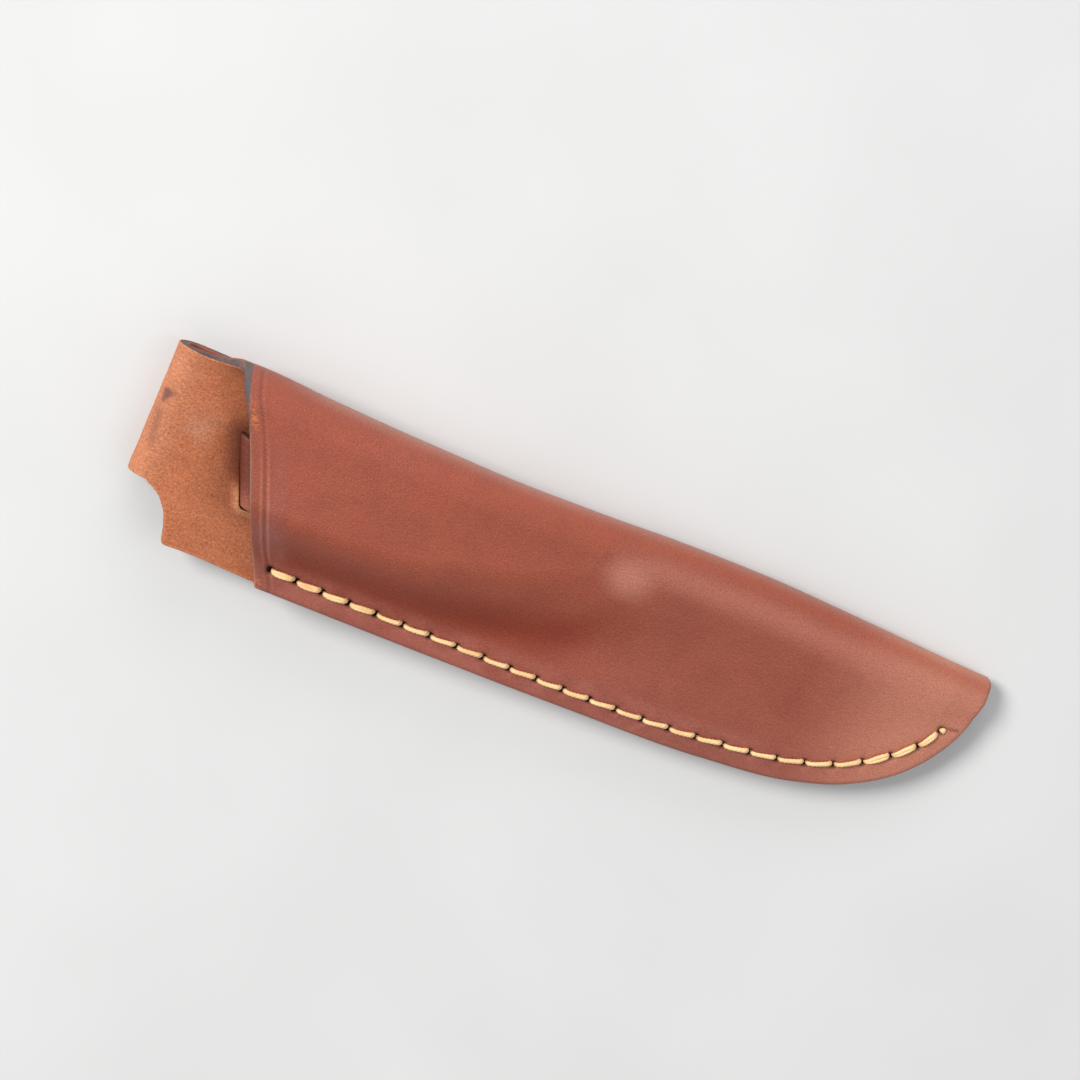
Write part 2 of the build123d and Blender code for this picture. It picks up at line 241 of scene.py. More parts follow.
def plan_y(u, v):
    """Hide-frame Y of a pattern place."""
    spine = spine_line(np.maximum(u, FOLD_X))
    size = np.where(v > 0, SPINE_TOP, SPINE_LOW)
    turn = np.clip(np.abs(v) / size, 0, math.pi / 2)
    beyond = np.maximum(np.abs(v) - size * math.pi / 2, 0)
    return spine - size * (1 - np.cos(turn)) - beyond


def pattern_v(x, y, side):
    """The pattern's v at a plan place, on the front (side 1) or the back (side -1)."""
    size = SPINE_TOP if side > 0 else SPINE_LOW
    depth = np.maximum(spine_line(np.maximum(x, FOLD_X)) - y, 0)
    curved = size * np.arccos(np.clip(1 - depth / size, 0, 1))
    return side * np.where(depth < size, curved, size * math.pi / 2 + depth - size)


def curl(u):
    """How far the tongue's top edge keeps the spine's curve."""
    tongue = 0.34 + 0.66 * step((u - FOLD_X) / (MOUTH[-1][1] - FOLD_X)) ** 1.3
    return np.where(u >= FOLD_X, tongue, 0.34 * np.exp(-np.maximum(FOLD_X - u, 0) / 3.5))


def folded(u, v):
    """Hide-frame place of the grain face over a pattern place."""
    u, v = np.asarray(u, float), np.asarray(v, float)
    on = np.maximum(u, FOLD_X)
    y = plan_y(u, v)
    depth = spine_line(on) - y
    top = front_height(on)
    level = top * SPINE_LEVEL
    fall = step((depth - fall_start(on)) / (fall_end(on) - fall_start(on)))
    front_z = top - (top - SEAM_STACK) * fall
    rise = np.sin(np.clip(v / SPINE_TOP, 0, math.pi / 2))
    drop = np.sin(np.clip(-v / SPINE_LOW, 0, math.pi / 2))
    z = np.where(v > 0, level + (front_z - level) * rise, level * curl(u) * (1 - drop))
    along = np.clip(FOLD_X - u, 0, PATH_AT[-1])
    px, pz = (np.interp(along, PATH_AT, values) for values in PATH.T)
    wx, wz = (np.interp(along, PATH_AT, values) for values in PATH_WAY.T)
    lean = step((along - 13.5) / (RISER_AT - 13.5))
    slant = lean * (SLIT_BOTTOM[0] - SLIT_TOP[0]) / (SLIT_TOP[1] - SLIT_BOTTOM[1])
    shift = slant * (SLIT_TOP[1] - np.clip(y, SLIT_BOTTOM[1], SLIT_TOP[1]))
    reach = HIDE / 2 - np.where(v < 0, z, 0)
    lowness = np.clip((PATH[-1, 1] - pz) / (PATH[-1, 1] - PATH[:, 1].min()), 0, 1)
    loop_x, loop_z = px - wz * reach + shift, pz + wx * reach + shift * lowness * math.tan(TILT)
    x = np.where(u >= FOLD_X, u, loop_x)
    z = np.where(u >= FOLD_X, z, loop_z)
    return np.stack([x, y, z], -1)


def outward(u, v, h=0.06):
    """Unit directions out of the grain face."""
    du = folded(u + h, v) - folded(u - h, v)
    dv = folded(u, v + h) - folded(u, v - h)
    return unit(-np.cross(du, dv))


def rested(points):
    """Row-frame metres from hide-frame millimetres: laid on the loop and the tip."""
    points = np.asarray(points, float)
    c, s = math.cos(TILT), math.sin(TILT)
    fold_x = FOLD_X * c + FOLD_Z * s - FOLD_RADIUS
    tip_x = LENGTH * c + SEAM_STACK * s
    x = points[..., 0] * c + points[..., 2] * s - (fold_x + tip_x) / 2
    y = points[..., 1] - MIDDLE_Y
    z = -points[..., 0] * s + points[..., 2] * c + LENGTH * s
    return np.stack([x, y, z], -1) * MM


# The pattern's outline and holes


def on_side(plan, side):
    """Pattern places of plan places on one side of the spine."""
    plan = np.asarray(plan, float)
    return np.stack([plan[:, 0], pattern_v(plan[:, 0], plan[:, 1], side)], 1)


def eased(line, radius):
    """A closed line with its sharp corners rounded."""
    line = [np.array(p, float) for p in line]
    out = []
    for i, p in enumerate(line):
        a, c = line[i - 1], line[(i + 1) % len(line)]
        la, lc = np.linalg.norm(a - p), np.linalg.norm(c - p)
        if la < 1e-6 or lc < 1e-6:
            continue
        cosine = np.dot(a - p, c - p) / la / lc
        if cosine < -0.93:
            out.append(p)
            continue
        start, stop = p + (a - p) * min(radius / la, 0.45), p + (c - p) * min(radius / lc, 0.45)
        for t in np.linspace(0, 1, 6):
            out.append((1 - t) ** 2 * start + 2 * t * (1 - t) * p + t**2 * stop)
    return np.array(out)


def outline():
    """The hide's cut line: front mouth, front edge, tip, back edge, tongue, tab and lip."""
    mouth_y = np.linspace(1.0, SEAM_EDGE[0][1], 90)
    mouth = on_side(np.stack([mouth_x(mouth_y), mouth_y], 1), 1)
    edge = seam_edge()
    end_y = float(spine_line(LENGTH))
    round_y = np.linspace(SEAM_EDGE[-1][1], end_y, 16)
    over = np.clip((round_y + TIP_CORNER - end_y) / TIP_CORNER, 0, 1)
    tip = np.stack([LENGTH - TIP_CORNER * (1 - np.sqrt(1 - 0.96 * over**2)), round_y], 1)
    front_tip, back_tip = on_side(tip, 1), on_side(tip[::-1], -1)
    back_edge = on_side(edge[::-1], -1)
    notch = on_side([END_CORNER, *NOTCH], -1)
    loop_ys = (LOOP_BOTTOM, LOOP_TOP, SLIT_BOTTOM[1], SLIT_TOP[1])
    neck_v, top_v, low_v, high_v = (pattern_v(FOLD_X, y, -1) for y in loop_ys)
    shoulder = FOLD_X - (FOLD_RADIUS - HIDE / 2) * math.pi - (SHOULDER_X - FOLD_X)
    loop = [(FOLD_X, neck_v), (shoulder, neck_v), (shoulder, low_v), (TAB_U, low_v)]
    loop += [(TAB_U, high_v), (shoulder, high_v), (shoulder, top_v), (FOLD_X - 4, top_v)]
    lip = [(FOLD_X, -4.6), (7.4, -4.8), (10.1, -3.8), (12.0, -2.0), (13.1, -0.4), (13.8, 1.2)]
    line = [*mouth[1:], *on_side(edge, 1), *front_tip[1:], *back_tip[1:], *back_edge[1:]]
    line += [*notch, *loop, *lip]
    return eased(line, 1.0)


def ellipse(centre, long, short, angle, n):
    """A closed line of n places; long and short are half lengths."""
    turn = np.linspace(0, 2 * math.pi, n, endpoint=False)
    x, y = long * np.cos(turn), short * np.sin(turn)
    c, s = math.cos(angle), math.sin(angle)
    return np.stack([centre[0] + x * c - y * s, centre[1] + x * s + y * c], 1)


def slit_outline():
    """The opening in the back that the tab comes through."""
    top, low = np.array(SLIT_TOP) + (-0.2, 0.35), np.array(SLIT_BOTTOM) + (0.2, -0.35)
    tight, left = np.array([HIDE / 2 - 0.5, 0]), np.array([HIDE / 2 - 0.15, 0])
    right = np.array([HIDE / 2 + 0.5, 0])
    return eased(on_side([top - tight, low - left, low + right, top + right], -1), 1.0)


HOLES = stitch_places()


def tab_holes():
    """Plan places of the tab seam's holes."""
    share = np.linspace(0.15, 0.85, TAB_STITCHES + 1)[:, None]
    return np.array(SLIT_TOP) + share * (np.array(SLIT_BOTTOM) - SLIT_TOP) + (TAB_SEAM_AWAY, 0)


def looped(line, spacing):
    """A closed line with its points this far apart, the first not repeated."""
    line = np.asarray(line)
    return even(np.concatenate([line, line[:1]]), spacing)[:-1]


def distance_to(points, line):
    """The distance of each point from a finely divided line."""
    tree = kdtree.KDTree(len(line))
    for i, (x, y) in enumerate(line):
        tree.insert((x, y, 0), i)
    tree.balance()
    return np.array([tree.find((x, y, 0))[2] for x, y in points])


def inside(points, closed):
    """Whether each point is inside a closed line."""
    x, y = points[:, 0], points[:, 1]
    found = np.zeros(len(points), bool)
    for (x0, y0), (x1, y1) in zip(closed, np.roll(closed, -1, 0)):
        if y0 != y1:
            cross = (y0 > y) != (y1 > y)
            found ^= cross & (x < (x1 - x0) * (y - y0) / (y1 - y0) + x0)
    return found


def rungs(closed, offsets):
    """Places inside a closed line at each of these distances from it."""
    normal = left_of(unit(np.roll(closed, -1, 0) - np.roll(closed, 1, 0)))
    probe = closed + normal * 0.05
    if inside(probe, closed).mean() < 0.5:
        normal = -normal
    return [closed + normal * offset for offset in offsets]


def connected(faces, lines, start):
    """The faces reached from one face without crossing the given lines."""
    walls = {(min(a, b), max(a, b)) for a, b in lines}
    beside = {}
    for i, face in enumerate(faces):
        for a, b in zip(face, np.roll(face, -1)):
            key = (min(a, b), max(a, b))
            if key not in walls:
                beside.setdefault(key, []).append(i)
    links = [[] for _ in faces]
    for pair in beside.values():
        if len(pair) == 2:
            links[pair[0]].append(pair[1])
            links[pair[1]].append(pair[0])
    found, todo = {start}, [start]
    while todo:
        for other in links[todo.pop()]:
            if other not in found:
                found.add(other)
                todo.append(other)
    return np.array(sorted(found))


def awl_holes():
    """Every awl hole's middle, half length, half width and angle in the pattern."""
    made = []
    for side, angle in ((1, -0.75), (-1, 0.75)):
        for n, place in enumerate(on_side(HOLES, side)):
            first = side > 0 and n == 0
            made.append((place, 0.66, 0.62, 0.0) if first else (place, 0.80, 0.46, angle))
    made += [(place, 0.6, 0.45, 0.5) for place in on_side(tab_holes(), -1)]
    return made


def pattern_points(border, slit, holes):
    """Places inside the hide: rows beside the border, an even grid, and rings round the cuts."""
    offsets = NEAR + tuple(np.arange(1.0, ROWS_REACH, ROW_STEP))
    rows = np.concatenate(rungs(border, offsets))
    nominal = np.repeat(offsets, len(border))
    real = distance_to(rows, looped(border, 0.05))
    rows = rows[(real > nominal - 0.04) & inside(rows, border)]
    low, high = border.min(0), border.max(0)
    gx, gy = np.meshgrid(np.arange(low[0], high[0], GRID), np.arange(low[1], high[1], GRID))
    gx, gy = gx.ravel(), gy.ravel()
    grid = np.stack([gx + 0.5 * GRID * (np.round(gy / GRID) % 2), gy], 1)
    grid = grid[inside(grid, border)]
    grid = grid[distance_to(grid, looped(border, 0.2)) > ROWS_REACH + 0.1]
    points = np.concatenate([rows, grid])
    points = points[(distance_to(points, looped(slit, 0.1)) > 0.3) & ~inside(points, slit)]
    centres = np.array([hole[0] for hole in holes])
    points = points[distance_to(points, centres) > HOLE_CLEAR]
    around = []
    for centre, long, short, angle in holes:
        for more in (0.14, 0.34):
            around.append(ellipse(centre, long + more, short + more, angle, HOLE_POINTS))
    return np.concatenate([points, *around, *rungs(slit, (-0.15, -0.35))])


def cut_pattern():
    """The flat pattern: its places, triangles, and the places along the outline, slit and holes."""
    border, slit = looped(outline(), 0.5), looped(slit_outline(), 0.5)
    holes = awl_holes()
    rings = [border, slit] + [ellipse(*hole, HOLE_POINTS) for hole in holes]
    lines, loops, start = [], [], 0
    for ring in rings:
        loop = np.arange(start, start + len(ring))
        lines += list(zip(loop.tolist(), np.roll(loop, -1).tolist()))
        loops.append(loop)
        start += len(ring)
    flat = np.concatenate([*rings, pattern_points(border, slit, holes)])
    made = geometry.delaunay_2d_cdt([Vector(p) for p in flat], lines, [], 0, 1e-5, True)
    places, faces = np.array([list(p) for p in made[0]]), np.array(made[2])
    new = {old: i for i, olds in enumerate(made[3]) for old in olds}
    middle = places[faces].mean(1)
    on_front = int(np.argmin(np.hypot(middle[:, 0] - 90, middle[:, 1] - 20)))
    faces = faces[connected(faces, [(new[a], new[b]) for a, b in lines], on_front)]
    a, b, c = (places[faces[:, k]] for k in range(3))
    turned = np.cross(b - a, c - a) < 0
    faces[turned] = faces[turned][:, ::-1]
    used = np.unique(faces)
    fresh = np.full(len(places), -1)
    fresh[used] = np.arange(len(used))
    loops = [fresh[np.array([new[i] for i in loop.tolist()])] for loop in loops]
    return places[used], fresh[faces], loops, rings


def crease_profile(e):
    """Height of the tooled lines beside the mouth, at a distance from its cut edge."""
    groove = -0.13 * np.exp(-(((e - GROOVE_AT) / 0.42) ** 2))
    inner = 0.055 * np.exp(-(((e - RIDGES_AT[0]) / 0.26) ** 2))
    outer = 0.065 * np.exp(-(((e - RIDGES_AT[1]) / 0.26) ** 2))
    return groove + (inner + outer)


def mouth_bevel(v):
    """Width of the bevel along the front's mouth, wider beside the spine."""
    return 0.30 + 0.75 * (1 - step((v - 7) / 6))


def mouth_distance(u, v):
    """Distance in plan from the front's mouth line; large on the back."""
    y = plan_y(u, v)
    e = (u - mouth_x(y)) / math.hypot(1, MOUTH_SLOPE)
    return np.where(v > 0, e, 99.0)


def waves(u, v, size, seed, n=14):
    """A soft random surface between about -1 and 1, with waves of about this size."""
    rng = np.random.default_rng(seed)
    total = np.zeros_like(u)
    for _ in range(n):
        angle, phase, stretch = rng.uniform(0, math.pi), rng.uniform(0, 6.28), rng.uniform(0.6, 1.7)
        k = 2 * math.pi / (size * stretch)
        total += np.sin(k * (u * math.cos(angle) + v * math.sin(angle)) + phase)
    return total / math.sqrt(n) / 1.4


def mark_distance(places, plan, side):
    """Distance in the pattern from a plan line on one side of the spine; large on the other."""
    away = distance_to(places, even(on_side(plan, side), 0.1))
    return np.where((places[:, 1] > 0) == (side > 0), away, FAR)


def pattern_distances(places, rings):
    """Distances in the pattern from the cut edges, the stitch lines and the marks."""
    u, v = places.T
    slit = distance_to(places, looped(rings[1], 0.1))
    holes = distance_to(places, np.array([hole[0] for hole in awl_holes()])) - HOLE_SIZE
    away = {"cut": np.minimum(distance_to(places, looped(rings[0], 0.05)), slit)}
    away["slit"], away["hole"], away["mouth"] = slit, np.maximum(holes, 0), mouth_distance(u, v)
    away["seam"], away["under"] = mark_distance(places, HOLES, 1), mark_distance(places, HOLES, -1)
    away["nick"] = mark_distance(places, NICK, 1)
    return away


def grain_relief(u, v, away):
    """Height of the grain face over its smooth fold."""
    mouth = away["mouth"]
    relief = (0.045 * waves(u, v, 21, 3) + 0.015 * waves(u, v, 6, 8)) * np.where(u > 5, 1, 0.4) - 0.04
    relief += np.where(mouth > 0.5, crease_profile(mouth), 0)
    bevelled = np.maximum(mouth_bevel(v) - np.maximum(mouth, 0), 0)
    relief -= 0.85 * bevelled * np.where(v > 0, step(v / 3), 0)
    relief -= 0.20 * np.exp(-((away["seam"] / 0.8) ** 2)) + 0.28 * np.exp(-((away["hole"] / 0.7) ** 2))
    relief -= 1.02 * np.exp(-((away["under"] / 0.8) ** 4))
    relief -= 0.14 * np.exp(-((away["nick"] / 0.35) ** 2))
    return relief


def slit_lip(u, v, slit):
    """How far the flesh face is pushed up round the slit, most at its lower end."""
    lip = np.where((v < 0) & (u > 5) & (u < 30), np.exp(-((slit / 1.4) ** 2)), 0)
    return lip * (0.25 + 0.55 * step((-26 - v) / 3) * step((27 - u) / 3))


def cut_walls(places, grain, flesh, loops):
    """The walls of every cut: added points, their pattern places, quads and material numbers."""
    points, pattern, polys, material, count = [], [], [], [], 2 * len(places)
    for k, loop in enumerate(loops):
        rows, bulged = [loop], k < 2
        for share in (0.25, 0.5, 0.75) if bulged else ():
            bulge = 0.10 * math.sin(math.pi * share)
            middle = grain[loop] * (1 - share) + flesh[loop] * share
            points.append(middle + off_edge(places[loop], k == 0) * bulge)
            pattern.append(places[loop])
            rows.append(np.arange(count, count + len(loop)))
            count += len(loop)
        rows.append(loop + len(places))
        for top, low in zip(rows, rows[1:]):
            polys += list(zip(top, low, np.roll(low, -1), np.roll(top, -1)))
            material += [2 if k == 0 else 3] * len(loop)
    return points, pattern, polys, material


def stain_share(u, v, plan):
    """How strongly the tongue's stain shows at plan places of the flesh face."""
    x, y = plan.T
    within = distance_to(plan, looped(STAIN, 0.1)) * np.where(inside(plan, np.array(STAIN)), 1, -1)
    streak_x = 1.6 + 0.13 * (-15 - y)
    streak = 0.6 * np.exp(-(((x - streak_x) / 0.8) ** 2)) * step((-13.5 - y) / 2) * step((y + 24) / 3)
    return np.maximum(step((within + 0.25) / 0.6), streak) * (u > -3) * (u < 20) * (v < 0)


def material_fields(u, v, ground, flesh, away):
    """The values that the materials read, one for each pattern place."""
    front, plan = v > 0, ground[:, :2]
    fields = {name: away[name] for name in ("cut", "hole", "mouth", "slit", "nick")}
    # Distances for the painted shade along the trough and for the painted highlight patch.
    fields["trough"] = np.where(front, distance_to(plan, even(TROUGH, 0.1)), FAR)
    across, up = plan[:, 0] - PAINTED_HIGHLIGHT_AT[0], plan[:, 1] - PAINTED_HIGHLIGHT_AT[1]
    fields["patch"] = np.where(front, np.hypot(across / 1.3, up), FAR)
    fields["stain"] = stain_share(u, v, flesh[:, :2])
    fields["bevel"] = np.where(front, mouth_bevel(v) - away["mouth"], -FAR)
    return fields


def hide_piece():
    """The whole folded hide: a grain face, a flesh face and the walls of the cuts."""
    places, faces, loops, rings = cut_pattern()
    u, v = places.T
    n = len(places)
    away = pattern_distances(places, rings)
    ground, normal = folded(u, v), outward(u, v)
    lost = rounded_off(away["cut"], EDGE_ROUND) + rounded_off(away["hole"], 0.2)
    grain = ground + normal * (grain_relief(u, v, away) - lost)[:, None]
    depth = HIDE + 0.05 * waves(u, v, 5, 21) + slit_lip(u, v, away["slit"]) - 0.4 * lost
    flesh = ground - normal * depth[:, None]
    added, added_pattern, walls, wall_material = cut_walls(places, grain, flesh, loops)
    points = np.concatenate([grain, flesh, *added])
    pattern = np.concatenate([places, places, *added_pattern])
    polys = [tuple(f) for f in faces] + [tuple(f[::-1]) for f in faces + n] + walls
    piece = mesh_piece("leather_hide", points, [tuple(int(i) for i in p) for p in polys])
    mesh = piece.data
    material = [0] * len(faces) + [1] * len(faces) + wall_material
    mesh.polygons.foreach_set("material_index", np.array(material, dtype=np.int32))
    for name, values in material_fields(u, v, ground, flesh, away).items():
        store(mesh, name, np.concatenate([values, values, np.full(len(points) - 2 * n, FAR)]))
    store(mesh, "u", pattern[:, 0])
    store(mesh, "v", pattern[:, 1])
    fix_facing(piece)
    return piece


def rounded_off(away, radius):
    """How far a face drops beside an edge of this radius."""
    return radius - np.sqrt(np.maximum(radius**2 - np.maximum(radius - away, 0) ** 2, 0))


def off_edge(flat, is_border):
    """Unit directions out of the hide across its cut edge."""
    out = -left_of(unit(np.roll(flat, -1, 0) - np.roll(flat, 1, 0)))
    if (inside(flat - out * 0.05, flat).mean() > 0.5) != is_border:
        out = -out
    reach = folded(*(flat + out * 0.1).T) - folded(*flat.T)
    return reach / np.maximum(np.linalg.norm(reach, axis=1)[:, None], 1e-9)


# Mesh helpers


def placed(name, data):
    """A new object in the scene with this mesh, light or camera."""
    made = bpy.data.objects.new(name, data)
    bpy.context.scene.collection.objects.link(made)
    return made


def mesh_piece(name, points, polys):
    """A smooth object in the row frame from hide-frame places."""
    mesh = bpy.data.meshes.new(name)
    mesh.from_pydata([tuple(p) for p in rested(points)], [], polys)
    mesh.polygons.foreach_set("use_smooth", [True] * len(mesh.polygons))
    return placed(name, mesh)


def store(mesh, name, values):
    """Keeps one number for each point of a mesh, for its material."""
    made = mesh.attributes.new(name, "FLOAT", "POINT")
    made.data.foreach_set("value", np.asarray(values, dtype=np.float32))


def fix_facing(piece):
    """Turns every face outwards."""
    bm = bmesh.new()
    bm.from_mesh(piece.data)
    bmesh.ops.recalc_face_normals(bm, faces=bm.faces)
    bm.to_mesh(piece.data)
    bm.free()


def tube(points, radius, swell=0.0):
    """A twisted thread along a line: places and faces, with closed ends."""
    line = even(points, THREAD_STEP)
    way = ways(line)
    side = np.cross(way, [0, 0, 1.0])
    lost = np.linalg.norm(side, axis=1) < 0.2
    side[lost] = [0, 1, 0]
    side -= way * np.sum(side * way, 1)[:, None]
    side = unit(side)
    up = np.cross(side, way)
    turn = np.linspace(0, 2 * math.pi, SIDES, endpoint=False)
    twist = 2 * math.pi * TURNS_PER_MM * THREAD_STEP * np.arange(len(line))
    lobes = np.abs(np.cos(STRANDS * (turn[None] - twist[:, None]) / 2))
    r = radius * (0.80 + 0.22 * lobes) * (1 + swell * np.linspace(-1, 1, len(line)))[:, None]
    ring = line[:, None] + side[:, None] * (r * np.cos(turn))[..., None]
    ring = ring + up[:, None] * (r * np.sin(turn))[..., None]
    places = np.concatenate([ring.reshape(-1, 3), line[:1], line[-1:]])
    beside = [(j, (j + 1) % SIDES) for j in range(SIDES)]
    faces, last = [], (len(line) - 1) * SIDES
    for i in range(0, last, SIDES):
        faces += [(i + j, i + k, i + SIDES + k, i + SIDES + j) for j, k in beside]
    for j, k in beside:
        faces.append((last + SIDES, k, j))
        faces.append((last + SIDES + 1, last + j, last + k))
    return places, faces


def joined(name, tubes):
    """One piece from several tubes."""
    places, faces, start = [], [], 0
    for p, f in tubes:
        places.append(p)
        faces += [tuple(i + start for i in face) for face in f]
        start += len(p)
    return mesh_piece(name, np.concatenate(places), faces)


def stitch(a, b, side, rng, lateral=0.0, radius=THREAD, height=0.34, gap=STITCH_GAP):
    """One stitch between two pattern places: up out of one hole, over the grain, down the next."""
    a, b = np.asarray(a, float), np.asarray(b, float)
    along = (b - a) / np.linalg.norm(b - a)
    across = np.array([-along[1], along[0]]) * side
    a, b = a + along * gap[0], b - along * gap[1]
    slant, bow = rng.uniform(0.10, 0.22), rng.uniform(-0.08, 0.08)
    t = np.array([0.0, 0.02, 0.10, 0.25, 0.5, 0.75, 0.90, 0.98, 1.0])
    dip = min(height - 0.6, -0.5)
    lift = [-1.7, dip, height - 0.28, height - 0.06, height + 0.05, height + 0.04]
    lift = np.array(lift + [height - 0.12, dip, -1.7])
    sway = slant * np.cos(math.pi * t) + bow * np.sin(math.pi * t) + lateral * np.sin(math.pi * t) ** 0.5
    line = a + (b - a) * t[:, None] + across * sway[:, None]
    ground, n = folded(*line.T), outward(*line.T)
    return tube(smooth_line(ground + n * lift[:, None]), radius * rng.uniform(0.95, 1.05), swell=0.16)


def smooth_line(points, n=60):
    """A smooth line of n places through the points."""
    points = np.asarray(points)
    at = np.arange(len(points))
    fine = np.linspace(0, len(points) - 1, n)
    return np.stack([table(list(zip(at, points[:, k])))(fine) for k in range(3)], 1)


def seam_threads():
    """The front's and the back's stitches, doubled where the seam starts and ends."""
    rng = np.random.default_rng(5)
    front, back = on_side(HOLES, 1), on_side(HOLES, -1)
    top, low = [], []
    for i in range(STITCHES):
        doubled = i < 4 or i > STITCHES - 4
        if doubled:
            gap = (STITCH_GAP[0], STITCH_GAP[1] + (0.75 if i == STITCHES - 1 else 0))
            for aside, height in ((0.28, 0.34), (-0.30, 0.40)):
                top.append(stitch(*front[i : i + 2], 1, rng, aside, THREAD * 0.84, height, gap))
            for aside in (0.26, -0.26):
                low.append(stitch(*back[i : i + 2], -1, rng, aside, THREAD * 0.8, IN_GROOVE))
        else:
            top.append(stitch(*front[i : i + 2], 1, rng))
            low.append(stitch(*back[i : i + 2], -1, rng, 0, THREAD, IN_GROOVE))
    place = front[-1] + [0.25, -0.1]
    ground, n = folded(*place), outward(*place)
    lean = ground + n * 0.16 + [0.12, 0.1, 0]
    top.append(tube(np.array([ground - n * 1.6, ground - n * 0.5, lean]), THREAD * 1.2))
    return joined("seam_stitches_front", top), joined("seam_stitches_back", low)


def tab_threads():
    """The tab seam's stitches inside the sheath and on its back."""
    rng = np.random.default_rng(9)
    places = on_side(tab_holes(), -1)
    low = [stitch(a, b, -1, rng, 0, THREAD, 0.1) for a, b in zip(places, places[1:])]
    top = []
    for a, b in zip(tab_holes(), tab_holes()[1:]):
        t = np.array([0.0, 0.03, 0.12, 0.3, 0.5, 0.7, 0.88, 0.97, 1.0])[:, None]
        lift = np.array([-1.7, -0.4, 0.2, 0.42, 0.45, 0.42, 0.2, -0.4, -1.7]) + 2 * HIDE + 0.08
        line = a + (b - a) * t
        top.append(tube(smooth_line(np.concatenate([line, lift[:, None]], 1)), THREAD))
    return joined("tab_stitches_inside", top), joined("tab_stitches_back", low)


def welt_piece():
    """The strip between the layers, with softly rounded edges."""
    edge = seam_edge(0.6)
    inward = left_of(ways(edge))
    keep = edge[:, 1] < WELT_END_Y - 0.3
    edge, inward = edge[keep], inward[keep]
    corner = 0.35
    low, high = HIDE + 0.02, 2 * HIDE - 0.02
    section = [(WELT_WIDTH, low), (WELT_WIDTH, high), (corner + 0.2, high)]
    section += [(0.3, high - 0.12), (0.12, high - corner - 0.2), (0.12, low + corner + 0.2)]
    section += [(0.3, low + 0.12), (corner + 0.2, low)]
    rows = []
    for reach, z in section:
        place = edge + inward * reach
        behind = np.maximum(mouth_x(place[:, 1]) + 0.15 - place[:, 0], 0)
        place = place + np.stack([behind, np.zeros(len(edge))], 1)
        place[:, 1] = np.minimum(place[:, 1], WELT_END_Y)
        rows.append(np.concatenate([place, np.full((len(edge), 1), z)], 1))
    grid = np.stack(rows, 1)
    m, k = grid.shape[:2]
    faces = [tuple(range(k)), tuple(range((m - 1) * k, m * k))[::-1]]
    for i in range(m - 1):
        for j in range(k):
            faces.append((i * k + j, (i + 1) * k + j, (i + 1) * k + (j + 1) % k, i * k + (j + 1) % k))
    piece = mesh_piece("welt_strip", grid.reshape(-1, 3), faces)
    fix_facing(piece)
    return piece


# Materials


def paint(red, green, blue):
    """Linear RGBA from an 8-bit display colour."""
    values = [c / 255 for c in (red, green, blue)]
    return [c / 12.92 if c <= 0.04045 else ((c + 0.055) / 1.055) ** 2.4 for c in values] + [1.0]


